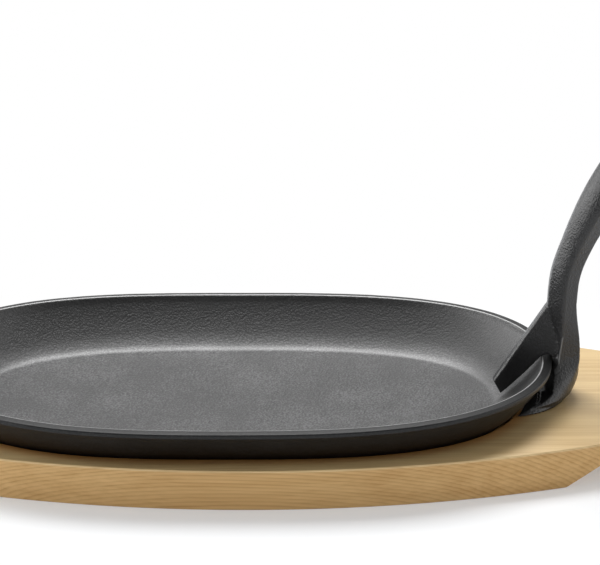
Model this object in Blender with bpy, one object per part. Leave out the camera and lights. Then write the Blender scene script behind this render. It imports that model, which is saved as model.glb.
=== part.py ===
"""Sizzle platter: an oval cast iron platter seated in the recess of a wooden board,
with a lift-off cast iron handle hooked over one end of its rim.

Units are metres, +Z is up. The origin is the centre of the board's underside, and the
handle is at the +X end. There are three pieces: board, platter and handle.
"""

import math

import bmesh
import bpy
from mathutils import Vector

# Clearances between the pieces
RESTING_GAP = 0.0003          # between pieces that rest on each other
RECESS_CLEARANCE = 0.0007     # round the platter, at the mouth of the recess
FOOT_CLEARANCE = 0.0020       # between the outside of the wall and the foot, at the board
SCOOP_CLEARANCE = 0.0024      # between the rim's outer edge and the leg
ARCH_HEADROOM = 0.0015        # between the top of the rim and the handle's arch
ARCH_INNER_GAP = 0.0006       # between the lip's inner edge and the blade, level with the rim

# Board
BOARD_END_REACH = 0.0550      # from the rim's ends to the board's tips, as a mean of both ends
BOARD_SIDE_STEP = 0.0004      # the rim's sides stand out this far past the board's sides
BOARD_END_RADIUS = 0.0550     # of the rounded ends, seen from above
BOARD_THICKNESS = 0.0170
BOARD_EDGE_ROUND = 0.0011
RECESS_DEPTH = 0.0073
RECESS_COVE = 0.0030
RECESS_OFFSET = 0.0075        # the recess sits this far from the board's middle, towards -X
FINGER_CUT_REACH = 0.0603     # from the tip of the board to the start of the finger cut
FINGER_CUT_SLOPE = math.radians(27.0)
FINGER_CUT_COVE = 0.0080
FINGER_LIP = 0.0080           # wood left above the finger cut

# Platter
PLATTER_LENGTH = 0.270
PLATTER_WIDTH = 0.1680
PLATTER_HEIGHT = 0.0224       # at the middle of the long sides
END_RISE = 0.0028             # how much higher the rim curves up to at its two ends
END_FULLNESS = 2.90           # exponents of the oval: 2 is an ellipse, more is boxier
SIDE_FULLNESS = 2.155
FLOOR_THICKNESS = 0.0035
WALL_THICKNESS = 0.0032
WALL_RUN = 0.0222             # from the rim's outer edge inwards to the floor
WALL_TURN = math.radians(22.0)        # how much the wall steepens from the floor to the lip
LIP_WIDTH = 0.0043
LIP_ROUND = 0.0016
BASE_ROUND = 0.0012

# Blade, the thin web that reaches down inside the platter
BLADE_THICKNESS = 0.0052
BLADE_EDGE_ROUND = 0.0008
BLADE_TIP_REACH = 0.0211      # from the rim's outer edge inwards to the tip's low corner
BLADE_TIP_LIFT = 0.0044       # from the floor up to the tip's low corner
BLADE_TIP_LENGTH = 0.0069
BLADE_TIP_ANGLE = math.radians(118.0)
BLADE_BOW = 0.0005            # how far its low edge bows towards the wall
BLADE_HEEL_HEIGHT = 0.0412    # above the board, where the blade runs into the grip
BLADE_SPREAD_START = 0.20     # share of the blade's length where it starts to thicken

# Leg and foot, scooped to follow the outside of the wall
LEG_THICKNESS = 0.0095
FOOT_HALF_WIDTH = 0.0302
FOOT_REACH = 0.0250           # from the rim's outer edge inwards to the foot's widest place
FOOT_ROUND = 0.0050           # how far the back draws in towards the foot
FOOT_ROUND_HEIGHT = 0.0120
FOOT_PAD_HEIGHT = 0.0014
FOOT_PAD_STEP = 0.0006
FOOT_HOLLOW = 0.0080          # how far the foot's front curves in between its two horns
FLARE_HEIGHT = 0.0210         # above the board, where the leg is as narrow as the neck
LEG_FRONT = 0.0030            # from the ridge to the front, over the arch
RIDGE_LEAN = 0.0012           # how far the ridge leans forward from the neck to the arch
SCOOP_HEIGHT = 0.0125         # above the board, where the scoop turns upright
SCOOP_FULLNESS = 1.8          # exponent of its curve: 1 is straight
ARCH_SHOULDER = 0.0070        # height of the arch's outer round
ARCH_CROWN = 0.0011           # from the rim's outer edge inwards to the arch's top

# Neck and grip
NECK_HEIGHT = 0.0420          # above the board
NECK_SETBACK = 0.0020         # the neck's back sits this far in front of the leg's back
NECK_HALF_WIDTH = 0.0078
NECK_FRONT = 0.0068           # from the ridge to the front
NECK_BACK = 0.0054            # from the ridge to the back
GRIP_HALF_WIDTH = 0.0105
GRIP_FRONT = 0.0082
GRIP_BACK = 0.0060
GRIP_FULLNESS = 2.0           # exponent of the grip's front: 2 is an ellipse
GRIP_SWELL_START = 0.018      # along the grip, from the neck
GRIP_SWELL_END = 0.052
GRIP_END_LENGTH = 0.0130      # the rounded end
BACK_FLAT = 0.56              # share of the width that is flat along the grip's back

# The grip's ridge line: distance out from the neck, height above the neck
GRIP_LINE = ((0.0000, 0.0000), (0.0015, 0.0141), (0.0069, 0.0286), (0.0145, 0.0437),
             (0.0217, 0.0567), (0.0305, 0.0689), (0.0418, 0.0792), (0.0557, 0.0867))

# Facets
OVAL_SEGMENTS = 84
END_SEGMENTS = 16
SIDE_SEGMENTS = 26
COVE_STEPS = 6
ROUND_STEPS = 4
ARCH_STEPS = 8
BLADE_STATIONS = 7
SECTION_SIDES = 24
LEG_STATIONS = 16
GRIP_STATIONS = 24
END_STATIONS = 5
OVERSHOOT = 0.002             # how far a cutter passes the surface that it opens

# Finishes: colour, roughness, metallic
FINISHES = {
    "maple": ((0.66, 0.47, 0.27, 1.0), 0.55, 0.0),
    "cast_iron": ((0.042, 0.042, 0.044, 1.0), 0.52, 0.35),
    "cast_iron_handle": ((0.036, 0.036, 0.038, 1.0), 0.50, 0.35),
}

# Sizes and places that follow
BOARD_LENGTH = PLATTER_LENGTH + 2 * BOARD_END_REACH
BOARD_WIDTH = PLATTER_WIDTH - 2 * BOARD_SIDE_STEP
PLATTER_X = -RECESS_OFFSET
RIM_END_X = PLATTER_X + PLATTER_LENGTH / 2
BASE_Z = BOARD_THICKNESS - RECESS_DEPTH + RESTING_GAP
FLOOR_Z = BASE_Z + FLOOR_THICKNESS
RIM_Z = BASE_Z + PLATTER_HEIGHT
LEG_BACK_X = RIM_END_X + SCOOP_CLEARANCE + LEG_THICKNESS
NECK_X = LEG_BACK_X - NECK_SETBACK - NECK_BACK


def clear_scene():
    for item in list(bpy.data.objects):
        bpy.data.objects.remove(item, do_unlink=True)


def finish(name):
    colour, roughness, metallic = FINISHES[name]
    material = bpy.data.materials.new(name)
    material.use_nodes = True
    shader = material.node_tree.nodes["Principled BSDF"]
    shader.inputs["Base Color"].default_value = colour
    shader.inputs["Roughness"].default_value = roughness
    shader.inputs["Metallic"].default_value = metallic
    return material


def mix(a, b, t):
    return a + (b - a) * t


def smoothstep(t):
    t = min(max(t, 0.0), 1.0)
    return t * t * (3 - 2 * t)


def quarter_round(steps):
    """Pairs that go round a quarter of a unit circle, from (1, 0) to (0, 1)."""
    angles = [math.pi / 2 * i / steps for i in range(steps + 1)]
    return [(math.cos(angle), math.sin(angle)) for angle in angles]


def loft(name, rings, material_name=None, ends="capped"):
    """A closed solid through rings of equal point counts. Its ends are capped, or
    joined to each other, which makes a hoop."""
    bm = bmesh.new()
    loops = [[bm.verts.new(point) for point in ring] for ring in rings]
    if ends == "joined":
        loops.append(loops[0])
    for lower, upper in zip(loops, loops[1:]):
        for i in range(len(lower)):
            j = (i + 1) % len(lower)
            bm.faces.new((lower[i], lower[j], upper[j], upper[i]))
    if ends == "capped":
        bm.faces.new(list(reversed(loops[0])))
        bm.faces.new(loops[-1])
    bmesh.ops.recalc_face_normals(bm, faces=bm.faces)
    mesh = bpy.data.meshes.new(name)
    bm.to_mesh(mesh)
    bm.free()
    item = bpy.data.objects.new(name, mesh)
    bpy.context.collection.objects.link(item)
    if material_name:
        mesh.materials.append(finish(material_name))
    return item


def smooth(item, angle_degrees):
    item.data.shade_smooth()
    item.data.set_sharp_from_angle(angle=math.radians(angle_degrees))


def combine(item, other, operation):
    """Adds or cuts away a helper solid, which then stays as a hidden guide."""
    modifier = item.modifiers.new(other.name, "BOOLEAN")
    modifier.operation = operation
    modifier.solver = "EXACT"
    modifier.object = other
    other.hide_render = True
    other.display_type = "WIRE"


def oval(length, width, end_power, side_power, centre_x):
    """Points of |x/a|^p + |y/b|^q = 1, anticlockwise seen from above."""
    points = []
    for i in range(OVAL_SEGMENTS):
        angle = 2 * math.pi * i / OVAL_SEGMENTS
        c, s = math.cos(angle), math.sin(angle)
        x = length / 2 * math.copysign(abs(c) ** (2 / end_power), c)
        y = width / 2 * math.copysign(abs(s) ** (2 / side_power), s)
        points.append(Vector((centre_x + x, y)))
    return points


def inset(points, distance):
    """An anticlockwise outline drawn in by a distance, or let out by a negative one."""
    moved = []
    for i, point in enumerate(points):
        along = (points[(i + 1) % len(points)] - points[i - 1]).normalized()
        moved.append(point + Vector((-along.y, along.x)) * distance)
    return moved


def stacked(outline, profile):
    """Rings of an outline at each (inset, height) of a profile."""
    rings = []
    for distance, z in profile:
        rings.append([Vector((p.x, p.y, z)) for p in inset(outline, distance)])
    return rings


def raise_ends(rings):
    """Curves the rim up towards its ends and leaves the floor flat."""
    for ring in rings:
        for point in ring:
            along = (point.x - PLATTER_X) / (PLATTER_LENGTH / 2)
            up = min(max((point.z - FLOOR_Z) / (RIM_Z - FLOOR_Z), 0.0), 1.0)
            point.z += END_RISE * up * along ** 2
    return rings


def platter_outline():
    return oval(PLATTER_LENGTH, PLATTER_WIDTH, END_FULLNESS, SIDE_FULLNESS, PLATTER_X)


def board_outline():
    """Two long side arcs that run into the smaller arcs of the ends."""
    half = BOARD_WIDTH / 2
    end_x = BOARD_LENGTH / 2 - BOARD_END_RADIUS
    side_radius = (end_x ** 2 + half ** 2 - BOARD_END_RADIUS ** 2) / (half - BOARD_END_RADIUS) / 2
    side_y = half - side_radius
    join = math.atan2(-side_y, end_x)
    arcs = ((end_x, 0.0, BOARD_END_RADIUS, -join, join, END_SEGMENTS),
            (0.0, side_y, side_radius, join, math.pi - join, SIDE_SEGMENTS))
    points = []
    for centre_x, centre_y, radius, start, stop, steps in arcs:
        for i in range(steps):
            angle = mix(start, stop, i / steps)
            x = centre_x + radius * math.cos(angle)
            points.append(Vector((x, centre_y + radius * math.sin(angle))))
    return points + [-point for point in points]


def wall_cove():
    """The inside of the wall from the lip down to the floor, as (inset, height, slope)."""
    run = WALL_RUN - LIP_WIDTH
    drop = RIM_Z - LIP_ROUND - FLOOR_Z
    middle_slope = math.atan2(drop, run)
    radius = math.hypot(run, drop) / (2 * math.sin(WALL_TURN / 2))
    steep = middle_slope + WALL_TURN / 2
    cove = []
    for i in range(COVE_STEPS + 1):
        slope = steep - WALL_TURN * i / COVE_STEPS
        across = radius * (math.sin(steep) - math.sin(slope))
        down = radius * (math.cos(slope) - math.cos(steep))
        cove.append((LIP_WIDTH + across, RIM_Z - LIP_ROUND - down, slope))
    return cove


def wall_outside():
    """The outside of the wall from the base up to below the lip, as (inset, height)."""
    outside = []
    for distance, z, slope in reversed(wall_cove()):
        out = distance - WALL_THICKNESS * math.sin(slope)
        low = z - WALL_THICKNESS * math.cos(slope)
        outside.append((max(out, 0.0), max(low, BASE_Z + BASE_ROUND / 2)))
    return outside


def lip_profile():
    """Over the rounded lip, from the outside to the inside, as (inset, height)."""
    outer_round = quarter_round(ROUND_STEPS)
    profile = [(0.0, RIM_Z - 2 * LIP_ROUND)]
    for c, s in outer_round:
        profile.append((LIP_ROUND * (1 - c), RIM_Z - LIP_ROUND * (1 - s)))
    for c, s in reversed(outer_round[1:]):
        profile.append((LIP_WIDTH - LIP_ROUND * (1 - c), RIM_Z - LIP_ROUND * (1 - s)))
    return profile


def wall_inset_at(height):
    """How far the outside of the wall stands inside the rim's edge at a height."""
    outside = wall_outside()
    for (d0, z0), (d1, z1) in zip(outside, outside[1:]):
        if z0 <= height <= z1:
            return mix(d0, d1, (height - z0) / (z1 - z0))
    return outside[0][0] if height < outside[0][1] else 0.0


def build_platter():
    outside = wall_outside()
    base = [(outside[0][0] + BASE_ROUND, BASE_Z)]
    inside = [(distance, z) for distance, z, slope in wall_cove()]
    profile = base + outside + lip_profile() + inside
    rings = raise_ends(stacked(platter_outline(), profile))
    platter = loft("platter", rings, "cast_iron")
    smooth(platter, 28)
    return platter


def finger_cutter(name, side):
    """Cuts the sloping finger grip under one end of the board; side is 1 or -1."""
    start_x = BOARD_LENGTH / 2 - FINGER_CUT_REACH
    ceiling = BOARD_THICKNESS - FINGER_LIP
    cove_tangent = FINGER_CUT_COVE * math.tan(FINGER_CUT_SLOPE / 2)
    corner_x = start_x + ceiling / math.tan(FINGER_CUT_SLOPE)
    below = -OVERSHOOT
    profile = [(start_x + below / math.tan(FINGER_CUT_SLOPE), below)]
    for i in range(ROUND_STEPS + 1):
        slope = FINGER_CUT_SLOPE * (1 - i / ROUND_STEPS)
        x = corner_x + cove_tangent - FINGER_CUT_COVE * math.sin(slope)
        profile.append((x, ceiling - FINGER_CUT_COVE * (1 - math.cos(slope))))
    past_end = BOARD_LENGTH / 2 + OVERSHOOT
    profile += [(past_end, ceiling), (past_end, below)]
    half = BOARD_WIDTH / 2 + OVERSHOOT
    rings = [[(side * x, y, z) for x, z in profile] for y in (-half, half)]
    return loft(name, rings)


def recess_cutter():
    mouth = wall_inset_at(BOARD_THICKNESS) - RECESS_CLEARANCE
    bottom = BOARD_THICKNESS - RECESS_DEPTH
    profile = []
    for c, s in reversed(quarter_round(ROUND_STEPS)):
        profile.append((mouth + RECESS_COVE * (1 - c), bottom + RECESS_COVE * (1 - s)))
    profile.append((mouth, BOARD_THICKNESS + OVERSHOOT))
    return loft("recess_cutter", stacked(platter_outline(), profile))


def build_board():
    profile = []
    for c, s in reversed(quarter_round(ROUND_STEPS)):
        profile.append((BOARD_EDGE_ROUND * (1 - c), BOARD_EDGE_ROUND * (1 - s)))
    for c, s in quarter_round(ROUND_STEPS):
        top = BOARD_THICKNESS - BOARD_EDGE_ROUND * (1 - s)
        profile.append((BOARD_EDGE_ROUND * (1 - c), top))
    board = loft("board", stacked(board_outline(), profile), "maple")
    combine(board, recess_cutter(), "DIFFERENCE")
    combine(board, finger_cutter("finger_cutter_handle_end", 1), "DIFFERENCE")
    combine(board, finger_cutter("finger_cutter_far_end", -1), "DIFFERENCE")
    smooth(board, 40)
    return board


def section(x, z, lean, half_width, front, back, roundness, flatness):
    """A ring round the ridge point. The front goes from a wedge with a narrow edge, at
    roundness 0, to a full round. The back goes from a full round, at flatness 0, to two
    bevels and a flat."""
    front_edge = BLADE_THICKNESS / 2 / NECK_HALF_WIDTH
    ring = []
    for i in range(SECTION_SIDES):
        angle = 2 * math.pi * i / SECTION_SIDES
        c, s = math.cos(angle), math.sin(angle)
        if s >= 0:
            wedge = min(1.0, (1 - abs(c)) / (1 - front_edge))
            depth = front * mix(wedge, s ** (2 / GRIP_FULLNESS), roundness)
        else:
            bevelled = min(1.0, (1 - abs(c)) / (1 - BACK_FLAT))
            depth = -back * mix(-s, bevelled, flatness)
        forward = Vector((-math.cos(lean), 0.0, math.sin(lean)))
        ring.append(Vector((x, half_width * c, z)) + forward * depth)
    return ring


def leg_rings():
    """From the pad under the foot up to the neck."""
    pad_top = FOOT_PAD_HEIGHT + RESTING_GAP
    heights = [(RESTING_GAP, FOOT_PAD_STEP), (pad_top, FOOT_PAD_STEP)]
    for i in range(LEG_STATIONS):
        heights.append((mix(pad_top + FOOT_PAD_STEP, NECK_HEIGHT, i / LEG_STATIONS), 0.0))
    rings = []
    for height, step in heights:
        flare = 1 - max(0.0, 1 - height / FLARE_HEIGHT) ** 2
        draw_in = FOOT_ROUND * max(0.0, 1 - height / FOOT_ROUND_HEIGHT) ** 2
        to_neck = smoothstep((height - FLARE_HEIGHT) / (NECK_HEIGHT - FLARE_HEIGHT))
        back_x = LEG_BACK_X - draw_in - NECK_SETBACK * to_neck - step
        ridge_x = mix(RIM_END_X - FOOT_REACH, NECK_X - RIDGE_LEAN * (1 - to_neck), flare)
        half_width = mix(FOOT_HALF_WIDTH, NECK_HALF_WIDTH, flare) - step
        front = mix(mix(-FOOT_HOLLOW, LEG_FRONT, flare), NECK_FRONT, to_neck)
        z = BOARD_THICKNESS + height
        rings.append(section(ridge_x, z, 0.0, half_width, front, back_x - ridge_x,
                             0.0, to_neck))
    return rings


def grip_point(t):
    """A smooth curve through GRIP_LINE, for t from 0 to 1."""
    points = [Vector(point) for point in GRIP_LINE]
    before = points[0] - Vector((0.0, GRIP_LINE[1][1]))
    after = points[-1] * 2 - points[-2]
    points = [before] + points + [after]
    spans = len(GRIP_LINE) - 1
    i = min(int(t * spans), spans - 1)
    u = t * spans - i
    a, b, c, d = points[i:i + 4]
    curve = b * 2 + (c - a) * u + (a * 2 - b * 5 + c * 4 - d) * u ** 2
    curve += (b * 3 - a - c * 3 + d) * u ** 3
    return curve / 2


def grip_rings():
    """From the neck to the rounded end."""
    fine = 400
    path = [grip_point(i / fine) for i in range(fine + 1)]
    lengths = [0.0]
    for a, b in zip(path, path[1:]):
        lengths.append(lengths[-1] + (b - a).length)
    total = lengths[-1]
    straight = total - GRIP_END_LENGTH
    stations = [(straight * i / GRIP_STATIONS, 1.0) for i in range(GRIP_STATIONS + 1)]
    for c, s in quarter_round(END_STATIONS)[1:]:
        stations.append((straight + GRIP_END_LENGTH * min(s, 0.995), max(c, 0.12)))
    rings = []
    for travelled, scale in stations:
        k = min(range(fine), key=lambda j: abs(lengths[j] - travelled))
        step = path[k + 1] - path[max(k - 1, 0)]
        lean = math.atan2(step.x, step.y)
        swell = (travelled - GRIP_SWELL_START) / (GRIP_SWELL_END - GRIP_SWELL_START)
        swell = smoothstep(swell)
        half_width = mix(NECK_HALF_WIDTH, GRIP_HALF_WIDTH, swell) * scale
        front = mix(NECK_FRONT, GRIP_FRONT, swell) * scale
        back = mix(NECK_BACK, GRIP_BACK, swell) * scale
        x = NECK_X + path[k].x
        z = BOARD_THICKNESS + NECK_HEIGHT + path[k].y
        rings.append(section(x, z, lean, half_width, front, back, swell, 1.0))
    return rings


def blade():
    """From the blunt tip to the neck, thickening as it goes. Its low side reaches into
    the space that the pocket cutter opens, so the cutter gives the low edge its shape."""
    along_tip = Vector((math.cos(BLADE_TIP_ANGLE), math.sin(BLADE_TIP_ANGLE)))
    tip = Vector((RIM_END_X - BLADE_TIP_REACH, FLOOR_Z + BLADE_TIP_LIFT))
    tip_low, tip_high = tip - along_tip * OVERSHOOT, tip + along_tip * BLADE_TIP_LENGTH
    root_low = Vector((NECK_X, RIM_Z))
    root_high = Vector((NECK_X - NECK_FRONT, BOARD_THICKNESS + BLADE_HEEL_HEIGHT))
    thin = BLADE_THICKNESS / 2
    rings = []
    for i in range(BLADE_STATIONS + 1):
        along = i / BLADE_STATIONS
        spread = max(0.0, (along - BLADE_SPREAD_START) / (1 - BLADE_SPREAD_START)) ** 2
        low, high = tip_low.lerp(root_low, along), tip_high.lerp(root_high, along)
        below_high = high + (low - high).normalized() * BLADE_EDGE_ROUND
        thick = mix(thin, NECK_HALF_WIDTH, spread)
        corners = ((low, thick), (below_high, thin), (high, thin - BLADE_EDGE_ROUND))
        ring = [Vector((p.x, half, p.y)) for p, half in corners]
        ring += [Vector((p.x, -half, p.y)) for p, half in reversed(corners)]
        rings.append(ring)
    return loft("handle_blade", rings)


def pocket_profile():
    """The space that the platter's end takes in the handle, as (inset, height): up the
    leg's scoop, over the arch, down the blade's low edge and back under the wall."""
    bottom = BOARD_THICKNESS - OVERSHOOT
    top = RIM_Z + ARCH_HEADROOM
    foot = wall_inset_at(BOARD_THICKNESS) - FOOT_CLEARANCE
    profile = []
    for i in range(ARCH_STEPS + 1):
        z = mix(bottom, top - ARCH_SHOULDER, i / ARCH_STEPS)
        low = min(max(1 - (z - BOARD_THICKNESS) / SCOOP_HEIGHT, 0.0), 1.0)
        profile.append((mix(-SCOOP_CLEARANCE, foot, low ** SCOOP_FULLNESS), z))
    for c, s in quarter_round(ARCH_STEPS)[1:]:
        over = mix(ARCH_CROWN, -SCOOP_CLEARANCE, c)
        profile.append((over, top - ARCH_SHOULDER * (1 - s)))

    past_lip = Vector((LIP_WIDTH + ARCH_INNER_GAP, RIM_Z))
    tip = Vector((BLADE_TIP_REACH, FLOOR_Z + BLADE_TIP_LIFT))
    edge = (tip - past_lip).normalized()
    corner = past_lip - edge * (ARCH_HEADROOM / -edge.y)
    start = Vector((ARCH_CROWN, top))
    stop = corner + edge * (corner - start).length
    for i in range(1, ROUND_STEPS + 1):
        t = i / ROUND_STEPS
        profile.append(tuple(start.lerp(corner, t).lerp(corner.lerp(stop, t), t)))
    for i in range(1, ARCH_STEPS + 1):
        t = i / ARCH_STEPS
        towards_wall = Vector((edge.y, -edge.x)) * (BLADE_BOW * 4 * t * (1 - t))
        profile.append(tuple(stop.lerp(tip, t) + towards_wall))
    past_tip = tip + edge * OVERSHOOT * 2
    return profile + [tuple(past_tip), (past_tip.x, bottom)]


def build_handle():
    handle = loft("handle", leg_rings() + grip_rings(), "cast_iron_handle")
    combine(handle, blade(), "UNION")
    rings = raise_ends(stacked(platter_outline(), pocket_profile()))
    combine(handle, loft("pocket_cutter", rings, ends="joined"), "DIFFERENCE")
    smooth(handle, 32)
    return handle


def main():
    clear_scene()
    build_board()
    build_platter()
    build_handle()


main()
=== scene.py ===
"""Looks of the sizzle platter: a cast iron platter on a maple board, with its hooked handle.

Laid out as an add-on: sizes and colours are properties, and each piece has its operator.
All lengths are in metres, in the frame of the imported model.
"""

import math

import bmesh
import bpy
from bpy.props import FloatProperty, FloatVectorProperty, IntProperty, PointerProperty
from bpy.types import Operator, Panel, PropertyGroup
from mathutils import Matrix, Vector, noise


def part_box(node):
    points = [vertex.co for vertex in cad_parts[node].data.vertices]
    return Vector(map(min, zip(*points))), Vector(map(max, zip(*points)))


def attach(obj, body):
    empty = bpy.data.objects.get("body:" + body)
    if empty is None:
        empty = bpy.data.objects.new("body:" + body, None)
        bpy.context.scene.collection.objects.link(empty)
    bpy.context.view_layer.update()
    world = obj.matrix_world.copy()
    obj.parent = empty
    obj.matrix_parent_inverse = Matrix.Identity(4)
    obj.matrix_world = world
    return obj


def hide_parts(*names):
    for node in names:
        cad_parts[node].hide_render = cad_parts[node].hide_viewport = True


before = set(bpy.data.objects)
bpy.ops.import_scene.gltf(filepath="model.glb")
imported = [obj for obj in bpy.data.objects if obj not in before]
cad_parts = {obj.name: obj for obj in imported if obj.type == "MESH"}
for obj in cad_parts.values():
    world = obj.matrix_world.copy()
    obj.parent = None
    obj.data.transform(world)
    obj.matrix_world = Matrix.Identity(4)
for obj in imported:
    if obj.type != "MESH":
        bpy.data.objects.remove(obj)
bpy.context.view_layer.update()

bl_info = {
    "name": "Sizzle platter",
    "version": (1, 0, 0),
    "blender": (4, 5, 0),
    "location": "3D View > Sidebar > Sizzle platter",
    "description": "Builds the finished pieces of a sizzle platter round its frame",
    "category": "Object",
}

BOARD_LOW, BOARD_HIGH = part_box("board")
PLATTER_LOW, PLATTER_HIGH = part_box("platter")
HANDLE_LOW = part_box("handle")[0]

BOARD_TOP = BOARD_HIGH.z
PLATTER_MIDDLE = (PLATTER_LOW.x + PLATTER_HIGH.x) / 2
HALF_LENGTH = (PLATTER_HIGH.x - PLATTER_LOW.x) / 2
HALF_WIDTH = (PLATTER_HIGH.y - PLATTER_LOW.y) / 2

# The photograph's frame and the view that fits it
PHOTO_WIDTH = 600
FOCAL_PIXELS = 3003.1
SENSOR_WIDTH = 36.0
CAMERA_PLACE = (0.017945, -1.189130, 0.490147)
CAMERA_PITCH = 0.341626
CAMERA_TURN = -0.002677


def length(label, description, default):
    return FloatProperty(name=label, description=description, default=default, min=0.0,
                         precision=5, unit="LENGTH")


def angle(label, description, degrees):
    return FloatProperty(name=label, description=description, subtype="ANGLE",
                         default=math.radians(degrees))


def share(label, description, default):
    return FloatProperty(name=label, description=description, default=default, min=0.0,
                         max=1.0, subtype="FACTOR")


def number(label, description, default):
    return FloatProperty(name=label, description=description, default=default)


def colour(label, description, default):
    return FloatVectorProperty(name=label, description=description, default=default,
                               size=3, min=0.0, max=1.0, subtype="COLOR")


class BoardSettings(PropertyGroup):
    end_radius: length("End radius", "Radius of the rounded ends, seen from above", 0.055)
    edge_round: length("Edge round", "Radius of the sanded edges", 0.0005)
    recess_depth: length("Recess depth", "How deep the platter sits", 0.0073)
    recess_clearance: length("Recess clearance", "Gap round the platter", 0.0007)
    recess_cove: length("Recess cove", "Radius at the foot of the recess", 0.003)
    cut_reach: length("Finger cut reach", "From the tip to the start of the cut", 0.0603)
    cut_slope: angle("Finger cut slope", "Slope of the underside cut", 27.0)
    cut_cove: length("Finger cut cove", "Radius where the cut levels out", 0.008)
    lip: length("Lip", "Wood left above the finger cut", 0.008)
    spacing: length("Point spacing", "Distance between outline points", 0.0022)
    # Lit and shaded copies of the wood: paler faces for the light and sheen on the top, darker
    # and redder edges for the shade on the sides
    lit_face_wood: colour("Lit face wood", "Colour of the plank's faces", (0.820, 0.605, 0.300))
    shaded_edge_wood: colour("Shaded edge wood", "Colour of the sawn edges", (0.760, 0.500, 0.225))
    grain: colour("Grain", "What the grain lines let through", (0.720, 0.620, 0.500))
    # Painted shadow: a browner tint on the board round the platter for the platter's shadow
    shadow_tint: colour("Shadow tint", "What the heat leaves round the recess", (0.820, 0.540, 0.300))
    ring_spacing: length("Ring spacing", "Thickness of a year's growth", 0.0011)


class PlatterSettings(PropertyGroup):
    end_fullness: number("End fullness", "Exponent along the length", 2.90)
    side_fullness: number("Side fullness", "Exponent across the width", 2.155)
    end_rise: length("End rise", "How much the rim curves up at its ends", 0.0020)
    floor_thickness: length("Floor thickness", "Thickness of the floor", 0.0035)
    wall_thickness: length("Wall thickness", "Thickness of the wall", 0.0032)
    wall_run: length("Wall run", "From the rim's edge inwards to the floor", 0.0234)
    wall_turn: angle("Wall turn", "How much the wall steepens upwards", 22.0)
    lip_width: length("Lip width", "Width of the thick rim", 0.0043)
    lip_depth: length("Lip depth", "How far below the rim the wall's inside begins", 0.0016)
    lip_inner_round: length("Lip inner round", "Radius of the rim's inner edge", 0.0010)
    lip_outer_round: length("Lip outer round", "Radius of the rim's outer edge", 0.0006)
    lip_under_round: length("Lip under round", "Radius under the rim's outer face", 0.0008)
    lip_height: length("Lip height", "Height of the rim's outer face", 0.0022)
    lip_fall: length("Lip fall", "How far the rim falls towards its outer edge", 0.0005)
    floor_fillet: length("Floor fillet", "Radius between floor and wall", 0.011)
    base_round: length("Base round", "Radius under the wall", 0.0015)
    around: IntProperty(name="Facets", description="Facets round the rim", default=520)
    waviness: length("Waviness", "Unevenness of the casting", 0.00007)
    wave_size: length("Wave size", "Size of the casting's uneven patches", 0.011)
    pebble_size: length("Pebble size", "Size of the pebbles that the sand leaves", 0.0009)
    floor_relief: length("Floor relief", "Depth of the pebbles on the floor", 0.0005)
    wall_relief: length("Wall relief", "How much deeper they are on the wall", 0.0006)
    # Width of the band where a highlight is painted along the rim's inner edge
    highlight_width: length("Highlight width", "Width of the rim's rubbed inner edge", 0.0009)
    iron: colour("Iron", "Colour of the oiled outside", (0.014, 0.014, 0.0145))
    # Painted light: the lip is a little lighter than the rest of the outside, for the light that
    # falls on it
    lip_painted_light: colour("Lip painted light", "Colour of the lip", (0.022, 0.022, 0.0225))
    # Painted light: a light grey on the floor that stands in for its sheen
    floor_painted_light: colour("Floor painted light", "Colour of the lit floor", (0.180, 0.180, 0.181))
    wall_iron: colour("Wall iron", "Colour of the wall's inside", (0.016, 0.016, 0.0165))
    # Painted highlight: a pale grey for the light that the rim's inner edge catches
    painted_highlight: colour("Painted highlight", "Colour along the rim's rubbed inner edge", (0.70, 0.70, 0.70))


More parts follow.
